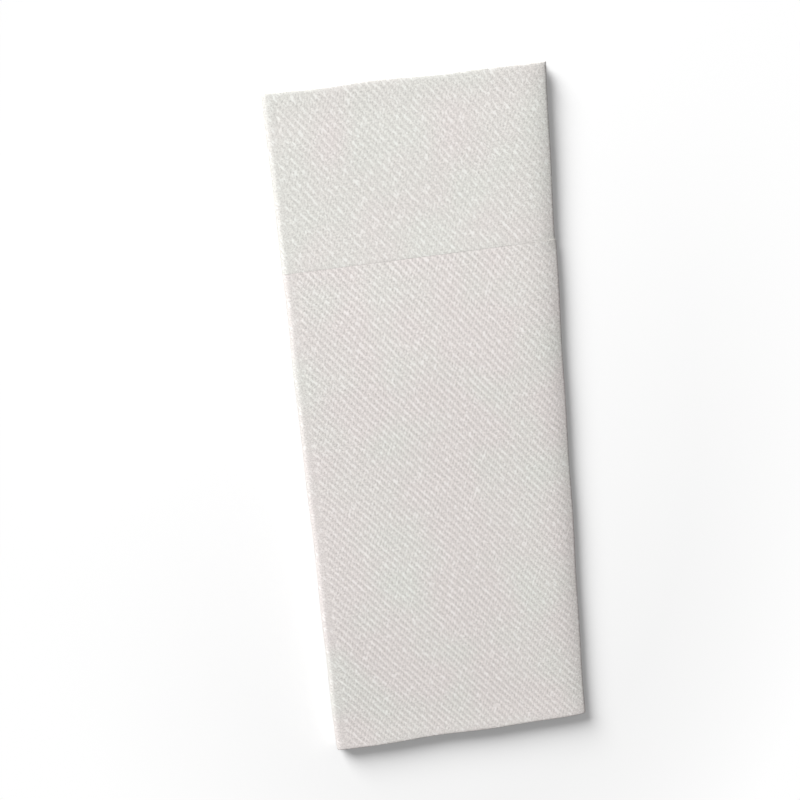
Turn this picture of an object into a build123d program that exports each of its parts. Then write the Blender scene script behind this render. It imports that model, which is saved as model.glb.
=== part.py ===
from build123d import *
from math import atan, cos, degrees, radians, sin
import os

# Paper napkin with a pocket fold: one embossed sheet folded into a flat pack that holds cutlery.
# The pack lies on its back. Origin on the surface below it, under its middle, +X across the pack,
# +Y along it to its upper end, +Z up. Millimetres.

# Driving dimensions
pack_width = 80.0  # across the pack, over its side folds
pack_length = 200.0  # along the pack, over its end folds
mouth_drop = 50.0  # from the upper end down to the mouth of the pocket
mouth_slit = 0.3  # between the two cut edges that meet at the mouth
edge_setback = 3.5  # from the spine to the sheet's free edges, which lie tucked inside it
sheet_thickness = 0.40  # of the embossed paper
layer_gap = 0.10  # between layers that lie on each other
loft = 1.2  # air that the springy spine keeps between the upper and the lower half of the pack
shoulder = 12.0  # width of the side that curves down over that air to the closed edge

# Thickness of one column: the back layer and the flaps folded over it
column_height = 2 * sheet_thickness + layer_gap

# Heights of the outer faces of the back layers, which look at each other inside the side folds
lower_back = column_height
upper_back = 3 * column_height + 2 * layer_gap + loft

# Side folds: two tight ones at the closed edge, and the round spine at the other side
tight_radius = layer_gap / 2
tight_reach = tight_radius + column_height
spine_radius = (upper_back + layer_gap - lower_back) / 2
spine_reach = spine_radius + column_height

# Shoulder: an arc, level at its start, that drops by the loft over its width
shoulder_angle = 2 * degrees(atan(loft / shoulder))
shoulder_radius = shoulder / sin(radians(shoulder_angle)) - tight_radius

# Places across the pack
free_edge_x = edge_setback - pack_width / 2
spine_x = spine_reach - pack_width / 2
closed_x = pack_width / 2 - tight_reach
shoulder_x = closed_x - shoulder


def folded_section():
    """Section along the pack: both flaps are creased over the back layer and meet at the mouth."""
    middle = -column_height / 2
    mouth_y = pack_length / 2 - mouth_drop
    outline = Pos(0, middle) * SlotOverall(pack_length, column_height)
    pocket = Pos(0, middle) * Rectangle(pack_length - 2 * sheet_thickness, layer_gap)
    mouth = Pos(mouth_y, middle) * Rectangle(mouth_slit, column_height / 2, align=(Align.CENTER, Align.MAX))
    return outline - pocket - mouth


def section_at(place):
    """Section of the folded sheet at a place (x, z, heading) on the way round, its back on the left."""
    x, z, heading = place
    forward = (cos(radians(heading)), 0, sin(radians(heading)))
    return Plane(origin=(x, 0, z), x_dir=(0, 1, 0), z_dir=forward) * section


def straight(place, length):
    """Level stretch of a column; returns its solid and the place where it ends."""
    x, z, heading = place
    end = (x + length * cos(radians(heading)), z + length * sin(radians(heading)), heading)
    return extrude(section_at(place), amount=length), end


def turn(place, radius, angle):
    """Bend or fold, to the left for a positive angle; returns its solid and the place where it ends."""
    x, z, heading = place
    side = 1 if angle > 0 else -1
    centre_x = x - side * radius * sin(radians(heading))
    centre_z = z + side * radius * cos(radians(heading))
    axis = Axis((centre_x, 0, centre_z), (0, -side, 0))
    end_heading = heading + angle
    end_x = centre_x + side * radius * sin(radians(end_heading))
    end_z = centre_z - side * radius * cos(radians(end_heading))
    return revolve(section_at(place), axis, abs(angle)), (end_x, end_z, end_heading)


section = folded_section()

# The way round the four columns: from one free edge out to the closed edge, back over the front,
# round the spine, along the underside to the closed edge, and inside to the other free edge
way = [
    (straight, shoulder_x - free_edge_x),
    (turn, shoulder_radius, -shoulder_angle),
    (turn, tight_radius, 180),
    (turn, shoulder_radius + layer_gap, shoulder_angle),
    (straight, shoulder_x - spine_x),
    (turn, spine_radius, 180),
    (straight, closed_x - spine_x),
    (turn, tight_radius, 180),
    (straight, closed_x - free_edge_x),
]

place = (free_edge_x, upper_back, 0)
stretches = []
for step, *sizes in way:
    stretch, place = step(place, *sizes)
    stretches.append(stretch)

napkin = stretches[0].fuse(*stretches[1:]).clean()
napkin.label = "napkin"

os.makedirs("parts", exist_ok=True)
export_step(napkin, "parts/napkin.step")

sheet_width = napkin.volume / section.area
sheet_length = section.area / sheet_thickness
print(f"sheet laid flat: {sheet_width:.1f} x {sheet_length:.1f} mm")
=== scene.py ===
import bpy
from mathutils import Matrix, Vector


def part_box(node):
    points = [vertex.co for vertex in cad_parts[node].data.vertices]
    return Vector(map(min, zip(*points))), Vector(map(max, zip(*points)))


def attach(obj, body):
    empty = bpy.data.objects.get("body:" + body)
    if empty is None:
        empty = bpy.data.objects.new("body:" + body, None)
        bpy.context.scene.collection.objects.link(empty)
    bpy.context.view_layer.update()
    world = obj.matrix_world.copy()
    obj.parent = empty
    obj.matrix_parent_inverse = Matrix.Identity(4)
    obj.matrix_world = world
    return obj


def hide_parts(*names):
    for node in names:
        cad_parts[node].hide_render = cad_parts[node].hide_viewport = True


bl_info = {
    "name": "Pocket Napkin",
    "version": (1, 0, 0),
    "blender": (4, 5, 0),
    "location": "3D View > Sidebar > Napkin",
    "description": "Folds one embossed paper sheet into a flat napkin with a cutlery pocket",
    "category": "Add Mesh",
}

from math import atan, cos, pi, radians, sin
from typing import Callable, NamedTuple

import bmesh
import bpy
import numpy as np
from bpy.props import FloatProperty, FloatVectorProperty, IntProperty, PointerProperty
from mathutils import Matrix, Vector

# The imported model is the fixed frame: the width, length and height of the pack come from its box
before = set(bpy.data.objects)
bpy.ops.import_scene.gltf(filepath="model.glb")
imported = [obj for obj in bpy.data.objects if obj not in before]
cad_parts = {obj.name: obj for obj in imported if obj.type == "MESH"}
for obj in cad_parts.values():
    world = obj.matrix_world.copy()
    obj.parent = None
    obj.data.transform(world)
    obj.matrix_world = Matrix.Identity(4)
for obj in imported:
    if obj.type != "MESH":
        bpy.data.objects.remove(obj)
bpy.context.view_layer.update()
PACK_LOW, PACK_HIGH = (Vector(corner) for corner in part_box("napkin"))

MM = 0.001
SHEET_MAP = "sheet"
RELIEF_MASK = "relief"
WHITE = (1.0, 1.0, 1.0, 1.0)

# Twill repeats along the sheet
UPPER_FLAP_REPEATS = 18.0
LOWER_FLAP_REPEATS = 55.5
BACK_REPEATS = 79.0
CREASE_REPEATS = 0.5

# Mesh: cuts that give a coarse cell enough points for the relief, and the angle past which an edge is sharp
LENGTHWISE_CUTS = 5
CROSSWISE_CUTS = 6
CELL_TOLERANCE = 0.01
SHARP_ANGLE = radians(55.0)

# Slow drifts: wavelengths in millimetres, and a seed; those of the twill add the seed to its own
ACROSS_DRIFT = ((7.0, 11.0, 18.0, 33.0), 1)
ALONG_DRIFT = ((8.0, 12.0, 19.0, 37.0), 2)
DEPTH_DRIFT = ((6.0, 9.0, 13.0, 21.0, 47.0), 0)
LIP_DRIFT = ((5.0, 8.0, 13.0, 29.0), 31)
GROOVE_DRIFT = ((9.0, 13.0, 23.0, 43.0), 5)
SWAY_DRIFT = ((46.0, 61.0, 83.0), 12)
END_DRIFT = ((6.5, 11.0, 19.0, 41.0), 21)
SIDE_DRIFT = ((27.0, 44.0, 90.0), 22)

# Relief: least share of it at a place, and the span in millimetres over which it grows to all of it
SETTLING_AT_CREASE = (-0.3, 9.0)
RELIEF_AT_CREASE = (0.0, 2.2)
UPPER_FLAP_RELIEF = 0.72
SPINE_STRIP_LEAST = 0.35
SPINE_STRIP_SPAN = (-0.4, 0.8)
MOUTH_RELIEF_LEAST = 0.05
MOUTH_RELIEF_SPAN = (0.05, 4.0)
# Painted light and shade of ribs and furrows at the mouth: least share of it, and its span
MOUTH_TONE_LEAST = 0.3
MOUTH_TONE_SPAN = (0.05, 0.8)
GRAIN_LIMIT = 2.0

# Handling, in millimetres where it isn't a share
LIP_CORNER = (29.0, 38.5)
SQUARE_POWER = 3.5
POCKET_BLEND = 4.0
POCKET_DROP = 0.15
POCKET_REACH = 0.35
END_STIFFNESS = 0.35
END_REACH = 22.0
GROOVE_PLACE = 0.15
GROOVE_WIDTH = 0.3
PINCH_REACH = 13.0
SWAY_STRETCH = 0.6
WAVY_END_START = 85.0
WAVY_SIDE_START = 20.0
DRAWN_IN_START = 5.0
DRAWN_BELOW_MOUTH = 6.0
DRAWN_ABOVE_MOUTH = 9.0
POCKET_DRAWN_IN = 0.3
LOWER_END_DRAWN_IN = 0.5
LOWER_PAIR_DRAWN_IN = 0.5

# Stage: stretch of the oval past which the camera sees plain white, and its start and end in metres
WHITE_OVAL = (1.6, 1.0, 1.0)
WHITE_START = 0.13
WHITE_END = 0.21


def length_setting(name, description, millimetres):
    """Length that a user can change, given here in millimetres."""
    return FloatProperty(
        name=name, description=description, default=millimetres * MM, unit="LENGTH", precision=5
    )


def share_setting(name, description, value):
    """Plain number between nought and one."""
    return FloatProperty(name=name, description=description, default=value, min=0.0, max=1.0, precision=3)


def angle_setting(name, description, degrees_value):
    """Angle that a user can change, given here in degrees."""
    return FloatProperty(
        name=name, description=description, default=radians(degrees_value), unit="ROTATION", precision=3
    )


def colour_setting(name, description, colour):
    """Colour in linear values."""
    return FloatVectorProperty(
        name=name, description=description, default=colour, subtype="COLOR", size=3, min=0.0, max=1.0
    )


class NapkinFold(bpy.types.PropertyGroup):
    """Sizes of the fold, as in the CAD model apart from a finer slit"""

    sheet_thickness: length_setting("Sheet thickness", "Thickness of the embossed paper", 0.40)
    layer_gap: length_setting("Layer gap", "Room between layers that lie on each other", 0.10)
    mouth_drop: length_setting("Mouth drop", "From the upper end down to the mouth of the pocket", 50.0)
    mouth_slit: length_setting("Mouth slit", "Between the two cut edges that meet at the mouth", 0.05)
    edge_setback: length_setting("Edge setback", "From the spine to the free edges tucked inside", 3.5)
    shoulder: length_setting("Shoulder", "Width of the side that curves down to the closed edge", 12.0)


class NapkinTwill(bpy.types.PropertyGroup):
    """Embossed twill"""

    pitch_across: length_setting("Pitch across", "Repeat of the twill across the pack", 2.19)
    pitch_along: length_setting("Pitch along", "Repeat of the twill along the pack", 2.70)
    depth: length_setting("Depth", "From a rib down to a furrow", 0.20)
    knuckle: share_setting("Knuckle", "Share of the relief that breaks each rib into knuckles", 0.04)
    wander: share_setting("Wander", "How far the ribs stray from straight, in repeats", 0.05)
    unevenness: share_setting("Unevenness", "How much the depth varies over the sheet", 0.30)
    grain: length_setting("Grain", "Random roughness of the relief", 0.008)
    seed: IntProperty(name="Seed", description="Picks the unevenness of the relief", default=7)


class NapkinHandling(bpy.types.PropertyGroup):
    """Signs of folding and handling"""

    spine_fullness: share_setting("Spine fullness", "How far the round spine swells towards a square", 1.0)
    shoulder_drop: length_setting("Shoulder drop", "How far the front sinks towards the closed edge", 1.5)
    shoulder_reach: length_setting("Shoulder reach", "Distance in which that drop dies away", 3.0)
    groove: length_setting("Groove", "Dip beside the spine, where the tucked edges end", 0.08)
    pinch: length_setting("End pinch", "How far the ends are pressed down", 0.15)
    sway: length_setting("Sway", "Slow rise and fall of the front", 0.12)
    waviness: length_setting("Waviness", "How far the folded edges stray from straight", 0.14)
    skew_upper: angle_setting("Upper skew", "Turn of the upper end and the mouth out of square", 1.0)
    skew_lower: angle_setting("Lower skew", "Turn of the lower end out of square", -0.25)
    lip: length_setting("Lip", "How far the cut edges at the mouth stand up or sink", 0.08)
    drawn_in: length_setting("Drawn in", "How far the upper flap pulls in above the mouth", 0.70)


class NapkinPaper(bpy.types.PropertyGroup):
    """Finish of the paper, with painted light and shade on its relief"""

    # Painted light and shade of the relief: the ribs are painted lighter and the furrows darker
    lit_rib_colour: colour_setting("Rib colour", "Paper where it is fullest", (0.96, 0.932, 0.90))
    shaded_furrow_colour: colour_setting("Furrow colour", "Paper pressed thinnest", (0.58, 0.56, 0.537))
    # Painted highlights: white flecks on the ribs
    glint_colour: colour_setting("Fleck colour", "Loose white tufts on the ribs", (0.93, 0.915, 0.89))
    warm_cast: colour_setting("Warm cast", "Faint cast of some patches", (1.0, 0.968, 0.976))
    cool_cast: colour_setting("Cool cast", "Faint cast of the other patches", (0.98, 1.0, 0.984))
    # Painted cast of light: the upper flap is made cooler than the lower one
    light_cast_lean: share_setting("Cast lean", "How much the upper flap leans to the cool cast", 0.15)
    roughness: share_setting("Roughness", "Roughness of the soft paper", 0.9)
    rib_depth: length_setting("Rib depth", "Sharper edge of the ribs over their relief", 0.06)
    knuckle_depth: length_setting("Knuckle depth", "Height of the knuckles along the ribs", 0.040)
    grain_depth: length_setting("Grain depth", "Height of the uneven grain between the knuckles", 0.05)
    fibre_depth: length_setting("Fibre depth", "Height of the loose fibres", 0.04)


class NapkinStage(bpy.types.PropertyGroup):
    """Floor, light and camera"""

    floor_colour: colour_setting("Floor colour", "Plain white table", (0.97, 0.97, 0.97))
    floor_lift: share_setting("Floor lift", "White that the camera sees over its colour", 0.10)
    floor_bounce: share_setting("Floor bounce", "Share of its light that falls on the pack", 0.3)
    fill: share_setting("Fill", "Even light from all sides", 0.24)
    key_power: FloatProperty(
        name="Key power", description="Power of the soft lamp", default=93.1, unit="POWER"
    )
    key_size: length_setting("Key size", "Diameter of the soft lamp", 1371.0)
    key_place: FloatVectorProperty(
        name="Key place", description="Where the soft lamp stands", default=(-1.1746, 1.8089, 1.0519),
        subtype="XYZ",
    )
    camera_place: FloatVectorProperty(
        name="Camera place", description="Where the camera stands", default=(-0.05051, 0.10108, 0.37057),
        subtype="XYZ",
    )
    camera_target: FloatVectorProperty(
        name="Camera target", description="Point that the camera looks at",
        default=(-0.00992, 0.00849, 0.00255), subtype="XYZ",
    )
    camera_heading: angle_setting("Camera heading", "Turn of the picture from the pack's length", 5.36)
    focal_length: FloatProperty(
        name="Focal length", description="Focal length of the lens in millimetres", default=58.5
    )


class NapkinSettings(bpy.types.PropertyGroup):
    """All settings of the napkin"""

    fold: PointerProperty(type=NapkinFold)
    twill: PointerProperty(type=NapkinTwill)
    handling: PointerProperty(type=NapkinHandling)
    paper: PointerProperty(type=NapkinPaper)
    stage: PointerProperty(type=NapkinStage)


class Stretch(NamedTuple):
    """Stretch of the flat sheet: its coarse cells, its twill repeats and where it lies once folded."""

    name: str
    cells: int
    repeats: float
    lie: Callable


def level(start_x, end_x, height, heading):
    """Level stretch of the back layer, as a path (x, z, heading) for shares of its length."""

    def lie(share):
        x = start_x + (end_x - start_x) * share
        return x, np.full_like(share, height), np.full_like(share, heading)

    return lie


def bend(centre_x, centre_z, radius, start, end):
    """Stretch of the back layer that turns from one heading to another, to the left when it grows."""
    side = 1 if end > start else -1

    def lie(share):
        heading = start + (end - start) * share
        x = centre_x + side * radius * np.sin(heading)
        z = centre_z - side * radius * np.cos(heading)
        return x, z, heading

    return lie


class PackSizes:
    """Sizes of the folded pack in millimetres, from the frame's box and the fold's settings."""

    def __init__(self, fold):
        self.width = (PACK_HIGH.x - PACK_LOW.x) / MM
        self.length = (PACK_HIGH.y - PACK_LOW.y) / MM
        self.height = (PACK_HIGH.z - PACK_LOW.z) / MM
        self.thickness = fold.sheet_thickness / MM
        self.gap = fold.layer_gap / MM
        self.slit = fold.mouth_slit / MM
        self.column = 2 * self.thickness + self.gap
        self.mouth = self.length / 2 - fold.mouth_drop / MM
        self.crease = (self.length - self.column) / 2
        self.free_edge = fold.edge_setback / MM - self.width / 2
        self.shoulder = fold.shoulder / MM
        self.lower_back = self.column
        self.upper_back = self.height - self.column - self.gap
        self.loft = self.upper_back - 3 * self.column - 2 * self.gap
        self.spine_radius = (self.upper_back + self.gap - self.lower_back) / 2
        self.spine_x = self.spine_radius + self.column - self.width / 2
        self.spine_z = self.lower_back + self.spine_radius
        self.closed_x = self.width / 2 - self.gap / 2 - self.column
        self.shoulder_x = self.closed_x - self.shoulder
        self.tilt = 2 * atan(self.loft / self.shoulder)
        self.shoulder_radius = self.shoulder / sin(self.tilt) - self.gap / 2


def way_round(size):
    """The four columns in turn: inner upper, front, underside and inner lower, with the folds between."""
    gap = size.gap
    tight = gap / 2
    tilt = size.tilt
    hub_x = size.shoulder_x
    radius = size.shoulder_radius
    hub_z = size.upper_back - radius
    fold_x = hub_x + (radius + tight) * sin(tilt)
    fold_z = hub_z + (radius + tight) * cos(tilt)
    closed_x = size.closed_x
    lower_z = size.lower_back
    return [
        Stretch("inner_upper", 6, 29.0, level(size.free_edge, hub_x, size.upper_back, 0.0)),
        Stretch("inner_shoulder", 3, 5.5, bend(hub_x, hub_z, radius, 0.0, -tilt)),
        Stretch("upper_fold", 6, 0.75, bend(fold_x, fold_z, tight, -tilt, pi - tilt)),
        Stretch("front_shoulder", 3, 5.25, bend(hub_x, hub_z, radius + gap, pi - tilt, pi)),
        Stretch("front", 17, 29.75, level(hub_x, size.spine_x, size.upper_back + gap, pi)),
        Stretch("spine", 12, 4.0, bend(size.spine_x, size.spine_z, size.spine_radius, pi, 2 * pi)),
        Stretch("underside", 15, 35.0, level(size.spine_x, closed_x, lower_z, 2 * pi)),
        Stretch("lower_fold", 6, 0.75, bend(closed_x, lower_z + tight, tight, 2 * pi, 3 * pi)),
        Stretch("inner_lower", 6, 34.5, level(closed_x, size.free_edge, lower_z + gap, 3 * pi)),
    ]


def lengthwise(size):
    """The upper flap, the back layer and the lower flap, with the creases between, as (y, offset)."""
    half = size.column / 2

    def flap(start, end):
        def lie(share, outer):
            offset = np.where(outer, size.column, size.column - size.thickness)
            return start + (end - start) * share, offset

        return lie

    def crease(place, reach, first):
        def lie(share, outer):
            radius = np.where(outer, half, size.gap / 2)
            return place + reach * radius * np.sin(pi * share), half + first * radius * np.cos(pi * share)

        return lie

    def back(share, outer):
        return size.crease * (1 - 2 * share), np.where(outer, 0.0, size.thickness)

    upper_lip = size.mouth + size.slit / 2
    lower_lip = size.mouth - size.slit / 2
    return [
        Stretch("upper_flap", 12, UPPER_FLAP_REPEATS, flap(upper_lip, size.crease)),
        Stretch("upper_crease", 6, CREASE_REPEATS, crease(size.crease, 1, 1)),
        Stretch("back", 14, BACK_REPEATS, back),
        Stretch("lower_crease", 6, CREASE_REPEATS, crease(-size.crease, -1, -1)),
        Stretch("lower_flap", 37, LOWER_FLAP_REPEATS, flap(-size.crease, lower_lip)),
    ]


def ends_of(stretches):
    """First and last coarse index of each stretch, by name."""
    ends = {}
    first = 0
    for stretch in stretches:
        ends[stretch.name] = (first, first + stretch.cells)
        first += stretch.cells
    return ends


def repeats_along(stretches, index, zero):
    """Twill repeats from the start of the stretch called zero to an index."""
    ends = ends_of(stretches)
    marks = [0]
    counts = [0.0]
    for stretch in stretches:
        marks.append(ends[stretch.name][1])
        counts.append(counts[-1] + stretch.repeats)
    return np.interp(index, marks, counts) - np.interp(ends[zero][0], marks, counts)


def flat_sheet(across, along):
    """Sheet before it is folded: one unit a coarse cell, with a second side under it and a rim all round.

    The flaps, and the two columns that show, get enough cells for the relief of the twill.
    """
    columns = sum(stretch.cells for stretch in across)
    rows = sum(stretch.cells for stretch in along)
    column_ends = ends_of(across)
    row_ends = ends_of(along)
    sheet = bmesh.new()
    bmesh.ops.create_grid(sheet, x_segments=columns, y_segments=rows, size=0.5)
    bmesh.ops.translate(sheet, verts=sheet.verts, vec=(0.5, 0.5, 0.0))
    bmesh.ops.scale(sheet, verts=sheet.verts, vec=(columns, rows, 1.0))
    bmesh.ops.solidify(sheet, geom=sheet.faces[:], thickness=1.0)

    def on_outer_side(edge):
        return all(abs(vert.co.z) < CELL_TOLERANCE for vert in edge.verts)

    def middle(edge):
        return (edge.verts[0].co + edge.verts[1].co) / 2

    def within(value, *spans):
        return any(first - CELL_TOLERANCE < value < last + CELL_TOLERANCE for first, last in spans)

    flaps = (row_ends["upper_flap"], row_ends["lower_flap"])
    lengthwise_edges = []
    for edge in sheet.edges:
        runs_along = abs(edge.verts[0].co.x - edge.verts[1].co.x) < CELL_TOLERANCE
        if runs_along and on_outer_side(edge) and within(middle(edge).y, *flaps):
            lengthwise_edges.append(edge)
    bmesh.ops.subdivide_edges(sheet, edges=lengthwise_edges, cuts=LENGTHWISE_CUTS)

    showing = (
        (column_ends["front_shoulder"][0], column_ends["front"][1]),
        column_ends["underside"],
    )
    relief_rows = (
        (row_ends["upper_flap"][0], row_ends["upper_crease"][1]),
        (row_ends["lower_crease"][0], row_ends["lower_flap"][1]),
    )
    crosswise_edges = []
    for edge in sheet.edges:
        runs_across = abs(edge.verts[0].co.y - edge.verts[1].co.y) < CELL_TOLERANCE
        if not runs_across or not on_outer_side(edge):
            continue
        centre = middle(edge)
        if within(centre.x, *showing) and within(centre.y, *relief_rows):
            crosswise_edges.append(edge)
    bmesh.ops.subdivide_edges(sheet, edges=crosswise_edges, cuts=CROSSWISE_CUTS)
    return sheet


def ease(value, low, high):
    """Smooth step from nought at low to one at high."""
    share = np.clip((value - low) / (high - low), 0.0, 1.0)
    return share * share * (3 - 2 * share)


def raised_from(least, share):
    """Share raised so that it starts at a least value instead of nought."""
    return least + (1 - least) * share


def drift(x, y, waves, base_seed=0):
    """Slow uneven drift between about minus one and one, for wavelengths and a seed."""
    wavelengths, seed = waves
    chance = np.random.default_rng(base_seed + seed)
    total = np.zeros_like(x)
    for wavelength in wavelengths:
        angle = chance.uniform(0, 2 * pi)
        phase = chance.uniform(0, 2 * pi)
        total += np.sin(2 * pi * (x * np.cos(angle) + y * np.sin(angle)) / wavelength + phase)
    return total / len(wavelengths) ** 0.5


def twill_relief(across, along, knuckle):
    """Height of the twill, one on a rib and nought in a furrow, for places in repeats."""
    rib = np.cos(2 * pi * (along - across))
    knuckles = np.cos(2 * pi * (2 * across + along))
    return 0.5 + 0.5 * ((1 - knuckle) * rib + knuckle * knuckles)


class FoldedPlaces:
    """Places of the sheet's points once folded, in millimetres."""

    def __init__(self, size, across, along, index):
        self.size = size
        self.across_index = index[:, 0]
        self.along_index = index[:, 1]
        self.outer = np.abs(index[:, 2]) < 0.5
        self.column_ends = ends_of(across)
        self.row_ends = ends_of(along)
        self.repeats_across = repeats_along(across, self.across_index, "front_shoulder")
        self.repeats_along = repeats_along(along, self.along_index, "upper_flap")
        self.y, self.offset = self.walk(along, self.along_index, self.outer)
        self.path_x, self.path_z, self.heading = self.walk(across, self.across_index)

    @staticmethod
    def walk(stretches, index, *masks):
        """Follows the stretches and fills in what each of them gives."""
        found = None
        ends = ends_of(stretches)
        for stretch in stretches:
            first, last = ends[stretch.name]
            inside = (index >= first) & (index <= last)
            share = (index[inside] - first) / (last - first)
            values = stretch.lie(share, *(mask[inside] for mask in masks))
            if found is None:
                found = [np.zeros_like(index) for _ in values]
            for whole, part in zip(found, values):
                whole[inside] = part
        return found

    def in_column(self, *names):
        """Mask of the points in these columns."""
        mask = np.zeros(len(self.outer), dtype=bool)
        for name in names:
            first, last = self.column_ends[name]
            mask |= (self.across_index >= first) & (self.across_index <= last)
        return mask

    def in_row(self, *names):
        """Mask of the points in these rows."""
        mask = np.zeros(len(self.outer), dtype=bool)
        for name in names:
            first, last = self.row_ends[name]
            mask |= (self.along_index >= first) & (self.along_index <= last)
        return mask

    def stray(self, twill):
        """Lets the ribs wander off their straight lines, in the relief and in the sheet map alike."""
        x = self.repeats_across * twill.pitch_across / MM
        y = self.repeats_along * twill.pitch_along / MM
        self.repeats_across += twill.wander * drift(x, y, ACROSS_DRIFT, twill.seed)
        self.repeats_along += twill.wander * drift(x, y, ALONG_DRIFT, twill.seed)

    def emboss(self, twill):
        """Presses the furrows of the twill into the outer side of the flaps."""
        front_start = self.column_ends["front_shoulder"][0]
        front_end = self.column_ends["front"][1]
        under_start, under_end = self.column_ends["underside"]

        # Across the sheet, in coarse cells: relief and settling die away in the side folds and the spine
        relief_marks = (
            (front_start - 3, 0.0),
            (front_start, 0.3),
            (front_start + 0.5, 1.0),
            (front_end - 0.32, 1.0),
            (front_end - 0.2, 0.15),
            (front_end + 6, 0.05),
            (under_start, 0.4),
            (under_start + 0.6, 1.0),
            (under_end - 0.5, 1.0),
            (under_end, 0.3),
        )
        settling_marks = (
            (front_start - 3, 0.0),
            (front_start, 1.0),
            (front_end - 2.2, 1.0),
            (front_end + 5, 0.0),
            (under_start - 5, 0.0),
            (under_start + 2.2, 1.0),
            (under_end, 1.0),
            (under_end + 3, 0.0),
        )
        strength = np.interp(self.across_index, *zip(*relief_marks), left=0.0, right=0.0)
        settled = np.interp(self.across_index, *zip(*settling_marks))

        # Less at the creases, on the upper flap and on the strip beside the spine
        on_show = self.in_row("upper_flap", "lower_flap") & self.outer
        to_crease = self.size.crease - np.abs(self.y)
        settled *= on_show * ease(to_crease, *SETTLING_AT_CREASE)
        strength *= on_show * ease(to_crease, *RELIEF_AT_CREASE)
        strength *= np.where(self.in_row("upper_flap"), UPPER_FLAP_RELIEF, 1.0)
        past_strip = ease(self.path_x - self.size.free_edge, *SPINE_STRIP_SPAN)
        strength *= raised_from(SPINE_STRIP_LEAST, past_strip)

        relief = twill_relief(self.repeats_across, self.repeats_along, twill.knuckle)
        x = self.repeats_across * twill.pitch_across / MM
        y = self.repeats_along * twill.pitch_along / MM
        even_depth = twill.depth / MM
        depth = even_depth * (1 + twill.unevenness * drift(x, y, DEPTH_DRIFT, twill.seed))
        chance = np.random.default_rng(twill.seed)
        grain = twill.grain / MM * np.clip(chance.normal(size=len(x)), -GRAIN_LIMIT, GRAIN_LIMIT)

        # At the mouth the relief is pressed flat over a wide strip, and the painted light and shade of ribs
        # and furrows fade over a narrow one
        to_mouth = np.abs(self.y - self.size.mouth)
        flattened = strength * raised_from(MOUTH_RELIEF_LEAST, ease(to_mouth, *MOUTH_RELIEF_SPAN))
        self.offset -= settled * even_depth / 2 + flattened * (depth * (0.5 - relief) + grain)
        self.relief_mask = strength * raised_from(MOUTH_TONE_LEAST, ease(to_mouth, *MOUTH_TONE_SPAN))

    def lift_lips(self, handling):
        """Lets the cut edges at the mouth stand up at the closed edge and sink a little elsewhere."""
        front = self.in_column("front_shoulder", "front")
        x = self.path_x
        lip = handling.lip / MM
        below = np.clip(self.size.mouth - self.y, 0, None)
        above = np.clip(self.y - self.size.mouth, 0, None)
        uneven = 0.8 + 0.3 * drift(x, 0 * x, LIP_DRIFT)
        corner = ease(x, *LIP_CORNER)
        raised = 1.4 * corner * np.exp(-below / 1.4) - 0.2 * (1 - corner) * np.exp(-below / 8.0)
        self.offset += lip * raised * (front & self.in_row("lower_flap"))
        raised = 0.1 * (1 - corner) * np.exp(-above / 3.0) - 0.2 * uneven * np.exp(-above / 0.4)
        self.offset += lip * raised * (front & self.in_row("upper_flap"))

    def fold(self):
        """Lays every point on the folded path, off the back layer by its offset."""
        self.x = self.path_x + self.offset * np.sin(self.heading)
        self.z = self.path_z - self.offset * np.cos(self.heading)

    def handle(self, handling):
        """Presses, skews and ripples the pack as handling has left it."""
        size = self.size
        x = self.x.copy()
        y = self.y.copy()
        half_width = size.width / 2
        half_length = size.length / 2

        # Spine: swells towards a square
        spine = self.in_column("spine")
        from_x = x[spine] - size.spine_x
        from_z = self.z[spine] - size.spine_z
        reach = np.hypot(from_x, from_z)
        power = 2 + SQUARE_POWER * handling.spine_fullness
        swell = (np.abs(from_x / reach) ** power + np.abs(from_z / reach) ** power) ** (-1 / power)
        self.x[spine] = size.spine_x + from_x * swell
        self.z[spine] = size.spine_z + from_z * swell

        # Shoulder: most of the drop comes close to the closed edge, a little more beside the pocket
        upper_pair = self.across_index <= self.column_ends["front"][1]
        along_x = np.minimum(x, size.closed_x)
        past = np.clip(along_x - size.shoulder_x, 0, None)
        even_arc = size.shoulder_radius - np.sqrt(size.shoulder_radius**2 - past**2)
        pocket = 1 - ease(y, size.mouth - POCKET_BLEND, size.mouth + POCKET_BLEND)
        drop = handling.shoulder_drop / MM + POCKET_DROP * pocket
        fading = handling.shoulder_reach / MM + POCKET_REACH * pocket
        sunk = drop * np.exp((along_x - half_width) / fading)
        to_end = half_length - np.abs(y)
        sunk *= 1 - END_STIFFNESS * np.exp(-((to_end / END_REACH) ** 2))
        self.z += (even_arc - sunk) * upper_pair

        # Heights: groove beside the spine, pressed ends and the slow sway of the front
        beside = x - size.free_edge - GROOVE_PLACE
        groove = np.exp(-((beside / GROOVE_WIDTH) ** 2))
        groove *= np.clip(0.8 * drift(y, 0 * y, GROOVE_DRIFT) - 0.05, 0.0, 1.2)
        pinch = np.exp(-((to_end / PINCH_REACH) ** 2))
        sway = drift(x, SWAY_STRETCH * y, SWAY_DRIFT)
        lowering = handling.groove * groove + handling.pinch * pinch - handling.sway * sway
        self.z *= 1 - lowering / MM / size.height

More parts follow.
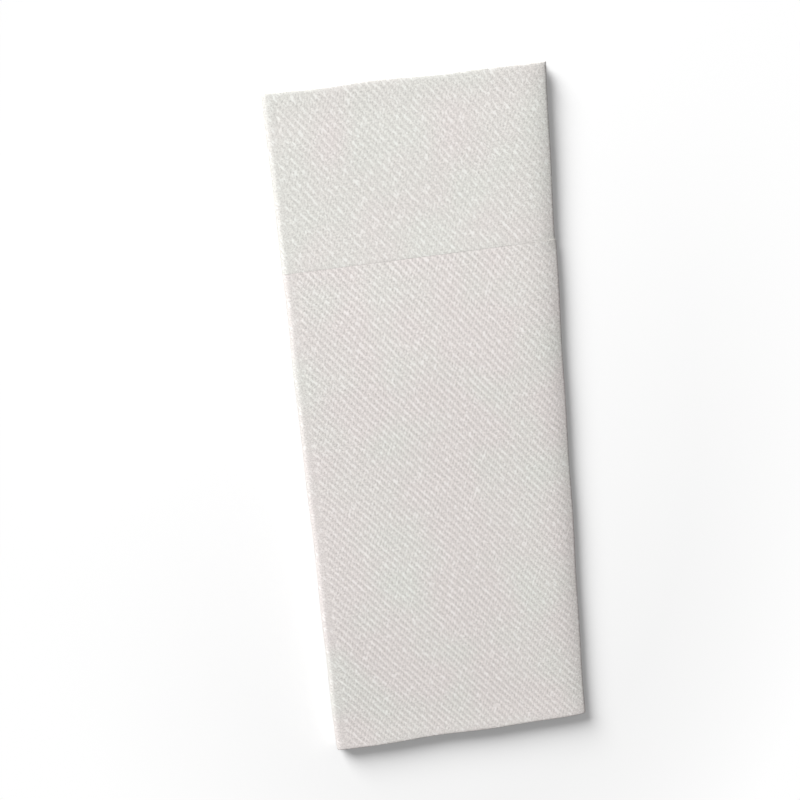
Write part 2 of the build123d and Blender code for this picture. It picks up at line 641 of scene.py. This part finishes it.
        # Plan: skewed ends, edges that stray from straight and the upper flap drawn in above the mouth
        skew_marks = [-half_length, size.mouth, half_length]
        skew = np.interp(y, skew_marks, [handling.skew_lower, handling.skew_upper, handling.skew_upper])
        self.y += x * skew
        wave = handling.waviness / MM
        self.y += wave * drift(x, 0 * x, END_DRIFT) * ease(np.abs(y), WAVY_END_START, half_length)
        self.x += wave * drift(0 * y, y, SIDE_DRIFT) * ease(np.abs(x), WAVY_SIDE_START, half_width)
        drawn = handling.drawn_in / MM
        pocket_top = size.mouth - DRAWN_BELOW_MOUTH
        upper_marks = [pocket_top, size.mouth, size.mouth + DRAWN_ABOVE_MOUTH, half_length]
        upper = np.interp(y, upper_marks, [POCKET_DRAWN_IN, drawn, 0.8 * drawn, 0.0])
        lower = np.interp(y, [-half_length, size.mouth], [LOWER_END_DRAWN_IN, POCKET_DRAWN_IN])
        inward = np.where(self.in_row("lower_flap") | (y < pocket_top), lower, upper)
        inward *= np.where(upper_pair, 1.0, LOWER_PAIR_DRAWN_IN)
        self.x -= inward * ease(x, DRAWN_IN_START, half_width)

    def points(self):
        """All points in metres."""
        return np.column_stack((self.x, self.y, self.z)) * MM


def node(tree, kind, settings=None, values=None):
    """Adds a node with its settings and the values of its unlinked sockets."""
    added = tree.nodes.new(kind)
    for key, setting in (settings or {}).items():
        setattr(added, key, setting)
    for key, value in (values or {}).items():
        added.inputs[key].default_value = value
    return added


def turns_of(tree, place, direction):
    """Angle that grows by so many turns for each repeat across and along."""
    turns = (2 * pi * direction[0], 2 * pi * direction[1], 0.0)
    phase = node(tree, "ShaderNodeVectorMath", {"operation": "DOT_PRODUCT"}, {1: turns})
    tree.links.new(place, phase.inputs[0])
    return phase.outputs["Value"]


def wave_of(tree, place, direction, lead=0.0):
    """Cosine wave over the sheet map, shifted ahead by a part of a turn."""
    wave = node(tree, "ShaderNodeMath", {"operation": "COSINE"})
    angle = combine(tree, "ADD", turns_of(tree, place, direction), 2 * pi * lead)
    tree.links.new(angle, wave.inputs[0])
    return wave.outputs[0]


def noise_of(tree, place, scale, detail):
    """Noise between nought and one."""
    noise = node(tree, "ShaderNodeTexNoise", values={"Scale": scale, "Detail": detail, "Roughness": 0.6})
    tree.links.new(place, noise.inputs["Vector"])
    return noise.outputs["Fac"]


def combine(tree, operation, first, second):
    """Math node on two sockets or numbers."""
    added = node(tree, "ShaderNodeMath", {"operation": operation})
    for slot, value in enumerate((first, second)):
        if isinstance(value, (int, float)):
            added.inputs[slot].default_value = value
        else:
            tree.links.new(value, added.inputs[slot])
    return added.outputs[0]


def weighted_sum(tree, *terms):
    """Sum of sockets, each times its own weight."""
    total = 0.0
    for socket, weight in terms:
        total = combine(tree, "ADD", combine(tree, "MULTIPLY", socket, weight), total)
    return total


def drawn_out(tree, repeats, across, along):
    """Place with its own scale across the ribs and along them, for noise that is drawn out along them."""
    place = node(tree, "ShaderNodeCombineXYZ")
    tree.links.new(turns_of(tree, repeats, (-across, across)), place.inputs["X"])
    tree.links.new(turns_of(tree, repeats, (along, along)), place.inputs["Y"])
    return place.outputs[0]


def colour_between(tree, share, low, high, margin=0.0):
    """Colour between two others; they are reached at a margin inside the shares nought and one."""
    ramp = node(tree, "ShaderNodeValToRGB")
    first, last = ramp.color_ramp.elements
    first.position, last.position = margin, 1.0 - margin
    first.color = (*low, 1.0)
    last.color = (*high, 1.0)
    tree.links.new(share, ramp.inputs["Fac"])
    return ramp.outputs["Color"]


def mixed_colour(tree, blend, share, first, second):
    """Two colours mixed by a share."""
    mix = node(tree, "ShaderNodeMix", {"data_type": "RGBA", "blend_type": blend})
    for name, value in (("Factor", share), ("A", first), ("B", second)):
        if isinstance(value, bpy.types.NodeSocket):
            tree.links.new(value, mix.inputs[name])
        else:
            mix.inputs[name].default_value = value
    return mix.outputs["Result"]


def embossed_paper(paper, twill):
    """Soft white paper: painted shade in the furrows and painted light on the ribs, white flecks as painted
    highlights, faint patches with a painted cast of light, and loose fibres.
    """
    material = bpy.data.materials.new("embossed_paper")
    material.use_nodes = True
    tree = material.node_tree
    tree.nodes.clear()
    link = tree.links.new
    output = node(tree, "ShaderNodeOutputMaterial")
    surface = node(
        tree,
        "ShaderNodeBsdfPrincipled",
        values={"Roughness": paper.roughness, "Specular IOR Level": 0.2, "Sheen Weight": 0.08},
    )
    link(surface.outputs[0], output.inputs["Surface"])

    # Places on the sheet: in twill repeats, and in millimetres for what doesn't follow the twill
    repeats = node(tree, "ShaderNodeUVMap", {"uv_map": SHEET_MAP}).outputs[0]
    pitch = (twill.pitch_across / MM, twill.pitch_along / MM, 1.0)
    scaled = node(tree, "ShaderNodeVectorMath", {"operation": "MULTIPLY"}, {1: pitch})
    link(repeats, scaled.inputs[0])
    millimetres = scaled.outputs[0]
    mask = node(tree, "ShaderNodeAttribute", {"attribute_name": RELIEF_MASK}).outputs["Fac"]

    # The twill is the sum of a few waves, as pressed by the roller
    rib = wave_of(tree, repeats, (-1.0, 1.0))
    knuckle = wave_of(tree, repeats, (2.0, 1.0))
    upright = wave_of(tree, repeats, (3.0, 0.0), lead=0.74)
    crest = wave_of(tree, repeats, (-2.0, 2.0), lead=0.15)
    grain = noise_of(tree, millimetres, scale=1.2, detail=2.0)
    fibres = noise_of(tree, millimetres, scale=2.0, detail=2.0)
    clouds = noise_of(tree, millimetres, scale=0.05, detail=3.0)
    patches = noise_of(tree, millimetres, scale=0.3, detail=1.0)
    strands = noise_of(tree, drawn_out(tree, repeats, across=3.4, along=1.2), scale=1.0, detail=1.0)
    glints = noise_of(tree, drawn_out(tree, repeats, across=0.35, along=0.12), scale=1.0, detail=1.0)

    # Colour: painted light on the ribs and painted shade in the furrows, with loose fibres and strands
    # between them
    pressed = weighted_sum(tree, (rib, 0.175), (knuckle, 0.075), (upright, 0.06))
    loose = weighted_sum(tree, (fibres, 1.7), (strands, 1.9), (clouds, 0.1))
    tone = combine(tree, "ADD", combine(tree, "MULTIPLY", pressed, mask), loose)
    tone = combine(tree, "SUBTRACT", tone, 1.32)
    colour = colour_between(tree, tone, paper.shaded_furrow_colour, paper.lit_rib_colour)

    # Painted highlights: white flecks, drawn out along the ribs and mostly on them
    on_ribs = combine(tree, "MULTIPLY", weighted_sum(tree, (rib, 0.06), (knuckle, 0.05)), mask)
    painted_highlights = node(tree, "ShaderNodeMapRange", values={"From Min": 0.56, "From Max": 0.69})
    link(combine(tree, "ADD", glints, on_ribs), painted_highlights.inputs["Value"])
    colour = mixed_colour(tree, "MIX", painted_highlights.outputs["Result"], colour, (*paper.glint_colour, 1.0))

    # Faint warm and cool patches, and a painted cast of light that makes the upper flap cooler than the
    # lower one
    along = node(tree, "ShaderNodeSeparateXYZ")
    link(repeats, along.inputs[0])
    lower_flap = UPPER_FLAP_REPEATS + BACK_REPEATS + 2 * CREASE_REPEATS
    lean = node(
        tree,
        "ShaderNodeMapRange",
        values={
            "From Min": UPPER_FLAP_REPEATS,
            "From Max": lower_flap,
            "To Min": paper.light_cast_lean / 2,
            "To Max": -paper.light_cast_lean / 2,
        },
    )
    link(along.outputs["Y"], lean.inputs["Value"])
    cast = noise_of(tree, millimetres, scale=0.045, detail=1.0)
    cast = combine(tree, "ADD", cast, lean.outputs["Result"])
    cast = colour_between(tree, cast, paper.warm_cast, paper.cool_cast, margin=0.35)
    link(mixed_colour(tree, "MULTIPLY", 1.0, colour, cast), surface.inputs["Base Color"])

    # Bump: heights in millimetres, because the bump's distance is one of them
    rib_depth = paper.rib_depth / MM
    knuckle_depth = paper.knuckle_depth / MM
    height = weighted_sum(
        tree,
        (rib, rib_depth / 2),
        (crest, rib_depth / 4),
        (knuckle, knuckle_depth / 9),
        (upright, knuckle_depth / 12),
    )
    height = combine(tree, "MULTIPLY", height, combine(tree, "MULTIPLY", patches, 2.0))
    height = combine(tree, "ADD", height, combine(tree, "MULTIPLY", grain, paper.grain_depth / MM))
    height = combine(tree, "MULTIPLY", height, mask)
    height = combine(tree, "ADD", height, combine(tree, "MULTIPLY", fibres, paper.fibre_depth / MM))
    bump = node(tree, "ShaderNodeBump", values={"Strength": 1.0, "Distance": MM})
    link(height, bump.inputs["Height"])
    link(bump.outputs["Normal"], surface.inputs["Normal"])
    return material


def floor_finish(stage):
    """Plain white table that keeps the shadow, throws little light back and meets the white background."""
    material = bpy.data.materials.new("white_table")
    material.use_nodes = True
    tree = material.node_tree
    tree.nodes.clear()
    link = tree.links.new
    output = node(tree, "ShaderNodeOutputMaterial")
    table = node(tree, "ShaderNodeBsdfDiffuse")
    dimmed = (*(stage.floor_bounce * channel for channel in stage.floor_colour), 1.0)
    tone = mixed_colour(tree, "MIX", seen_by_camera(tree), dimmed, (*stage.floor_colour, 1.0))
    link(tone, table.inputs["Color"])
    white = node(tree, "ShaderNodeEmission", values={"Color": WHITE})
    lift = node(tree, "ShaderNodeAddShader")
    link(combine(tree, "MULTIPLY", seen_by_camera(tree), stage.floor_lift), white.inputs["Strength"])
    link(table.outputs[0], lift.inputs[0])
    link(white.outputs[0], lift.inputs[1])

    # Well past the shadow the picture shows plain white, with no edge of the table
    oval = node(tree, "ShaderNodeVectorMath", {"operation": "MULTIPLY"}, {1: WHITE_OVAL})
    link(node(tree, "ShaderNodeTexCoord").outputs["Object"], oval.inputs[0])
    distance = node(tree, "ShaderNodeVectorMath", {"operation": "LENGTH"})
    link(oval.outputs[0], distance.inputs[0])
    away = node(tree, "ShaderNodeMapRange", values={"From Min": WHITE_START, "From Max": WHITE_END})
    link(distance.outputs["Value"], away.inputs["Value"])
    backdrop = node(tree, "ShaderNodeEmission", values={"Color": WHITE, "Strength": 1.0})
    choice = node(tree, "ShaderNodeMixShader")
    link(combine(tree, "MULTIPLY", away.outputs["Result"], seen_by_camera(tree)), choice.inputs[0])
    link(lift.outputs[0], choice.inputs[1])
    link(backdrop.outputs[0], choice.inputs[2])
    link(choice.outputs[0], output.inputs["Surface"])
    return material


def seen_by_camera(tree):
    """One for rays that make the picture, also through gloss and glass."""
    path = node(tree, "ShaderNodeLightPath")
    gloss = combine(tree, "MAXIMUM", path.outputs["Is Camera Ray"], path.outputs["Is Glossy Ray"])
    return combine(tree, "MAXIMUM", gloss, path.outputs["Is Transmission Ray"])


class NAPKIN_OT_fold_sheet(bpy.types.Operator):
    """Fold the embossed sheet into the flat pack with its pocket"""

    bl_idname = "napkin.fold_sheet"
    bl_label = "Fold Sheet"
    bl_options = {"REGISTER", "UNDO"}

    def execute(self, context):
        settings = context.scene.napkin
        size = PackSizes(settings.fold)
        across = way_round(size)
        along = lengthwise(size)

        sheet = flat_sheet(across, along)
        mesh = bpy.data.meshes.new("folded_sheet")
        sheet.to_mesh(mesh)
        sheet.free()

        index = np.empty(len(mesh.vertices) * 3)
        mesh.vertices.foreach_get("co", index)
        places = FoldedPlaces(size, across, along, index.reshape(-1, 3))
        places.stray(settings.twill)
        places.emboss(settings.twill)
        places.lift_lips(settings.handling)
        places.fold()
        places.handle(settings.handling)
        mesh.vertices.foreach_set("co", places.points().ravel())

        corners = np.empty(len(mesh.loops), dtype=np.int32)
        mesh.loops.foreach_get("vertex_index", corners)
        repeats = np.column_stack((places.repeats_across, places.repeats_along))
        sheet_map = mesh.uv_layers.new(name=SHEET_MAP)
        sheet_map.data.foreach_set("uv", repeats[corners].ravel())
        mask = mesh.attributes.new(RELIEF_MASK, "FLOAT", "POINT")
        mask.data.foreach_set("value", places.relief_mask)
        mesh.update()

        self.turn_outwards(mesh)
        mesh.polygons.foreach_set("use_smooth", np.ones(len(mesh.polygons), dtype=bool))
        mesh.set_sharp_from_angle(angle=SHARP_ANGLE)

        napkin = bpy.data.objects.new("folded_sheet", mesh)
        context.scene.collection.objects.link(napkin)
        mesh.materials.append(embossed_paper(settings.paper, settings.twill))
        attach(napkin, "root")
        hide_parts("napkin")
        return {"FINISHED"}

    @staticmethod
    def turn_outwards(mesh):
        """Turns the faces round where the fold has left the closed sheet inside out."""
        shell = bmesh.new()
        shell.from_mesh(mesh)
        if any(not edge.is_manifold for edge in shell.edges):
            raise RuntimeError("the folded sheet isn't closed")
        if shell.calc_volume(signed=True) < 0:
            bmesh.ops.reverse_faces(shell, faces=shell.faces[:])
        shell.to_mesh(mesh)
        shell.free()


class NAPKIN_OT_set_stage(bpy.types.Operator):
    """Lay out the white table, the soft light and the camera"""

    bl_idname = "napkin.set_stage"
    bl_label = "Set Stage"
    bl_options = {"REGISTER", "UNDO"}

    def execute(self, context):
        scene = context.scene
        stage = scene.napkin.stage
        self.lay_floor(scene, stage)
        self.light(scene, stage)
        self.place_camera(scene, stage)
        scene.view_settings.view_transform = "Standard"
        return {"FINISHED"}

    @staticmethod
    def lay_floor(scene, stage):
        shape = bmesh.new()
        bmesh.ops.create_grid(shape, x_segments=1, y_segments=1, size=4.0)
        mesh = bpy.data.meshes.new("table_top")
        shape.to_mesh(mesh)
        shape.free()
        mesh.materials.append(floor_finish(stage))
        floor = bpy.data.objects.new("table_top", mesh)
        scene.collection.objects.link(floor)

    @staticmethod
    def light(scene, stage):
        lamp = bpy.data.lights.new("soft_lamp", "AREA")
        lamp.shape = "DISK"
        lamp.size = stage.key_size
        lamp.energy = stage.key_power
        key = bpy.data.objects.new("soft_lamp", lamp)
        place = Vector(stage.key_place)
        key.matrix_world = Matrix.Translation(place) @ place.to_track_quat("Z", "Y").to_matrix().to_4x4()
        scene.collection.objects.link(key)

        world = bpy.data.worlds.new("white_room")
        world.use_nodes = True
        tree = world.node_tree
        tree.nodes.clear()
        output = node(tree, "ShaderNodeOutputWorld")
        fill = node(tree, "ShaderNodeBackground", values={"Color": WHITE, "Strength": stage.fill})
        white = node(tree, "ShaderNodeBackground", values={"Color": WHITE, "Strength": 1.0})
        choice = node(tree, "ShaderNodeMixShader")
        tree.links.new(seen_by_camera(tree), choice.inputs[0])
        tree.links.new(fill.outputs[0], choice.inputs[1])
        tree.links.new(white.outputs[0], choice.inputs[2])
        tree.links.new(choice.outputs[0], output.inputs["Surface"])
        scene.world = world

    @staticmethod
    def place_camera(scene, stage):
        lens = bpy.data.cameras.new("camera")
        lens.sensor_width = 36.0
        lens.lens = stage.focal_length
        lens.clip_start = 0.01
        camera = bpy.data.objects.new("camera", lens)
        place = Vector(stage.camera_place)
        backward = (place - Vector(stage.camera_target)).normalized()
        upright = Vector((sin(stage.camera_heading), cos(stage.camera_heading), 0.0))
        right = upright.cross(backward).normalized()
        up = backward.cross(right)
        turned = Matrix((right, up, backward)).transposed().to_4x4()
        camera.matrix_world = Matrix.Translation(place) @ turned
        scene.collection.objects.link(camera)
        scene.camera = camera


class NAPKIN_PT_napkin(bpy.types.Panel):
    """Settings and steps of the napkin"""

    bl_idname = "NAPKIN_PT_napkin"
    bl_label = "Pocket Napkin"
    bl_space_type = "VIEW_3D"
    bl_region_type = "UI"
    bl_category = "Napkin"

    def draw(self, context):
        settings = context.scene.napkin
        for group in (settings.fold, settings.twill, settings.handling, settings.paper):
            self.list_settings(group)
        self.layout.operator(NAPKIN_OT_fold_sheet.bl_idname)
        self.list_settings(settings.stage)
        self.layout.operator(NAPKIN_OT_set_stage.bl_idname)

    def list_settings(self, group):
        box = self.layout.box()
        box.label(text=group.bl_rna.description)
        for name in group.__annotations__:
            box.prop(group, name)


CLASSES = (
    NapkinFold,
    NapkinTwill,
    NapkinHandling,
    NapkinPaper,
    NapkinStage,
    NapkinSettings,
    NAPKIN_OT_fold_sheet,
    NAPKIN_OT_set_stage,
    NAPKIN_PT_napkin,
)


def register():
    for cls in CLASSES:
        bpy.utils.register_class(cls)
    bpy.types.Scene.napkin = PointerProperty(type=NapkinSettings)


def unregister():
    del bpy.types.Scene.napkin
    for cls in reversed(CLASSES):
        bpy.utils.unregister_class(cls)


def main():
    """Builds the napkin and its stage."""
    register()
    bpy.ops.napkin.fold_sheet()
    bpy.ops.napkin.set_stage()
    bpy.context.view_layer.update()


if __name__ == "__main__":
    main()
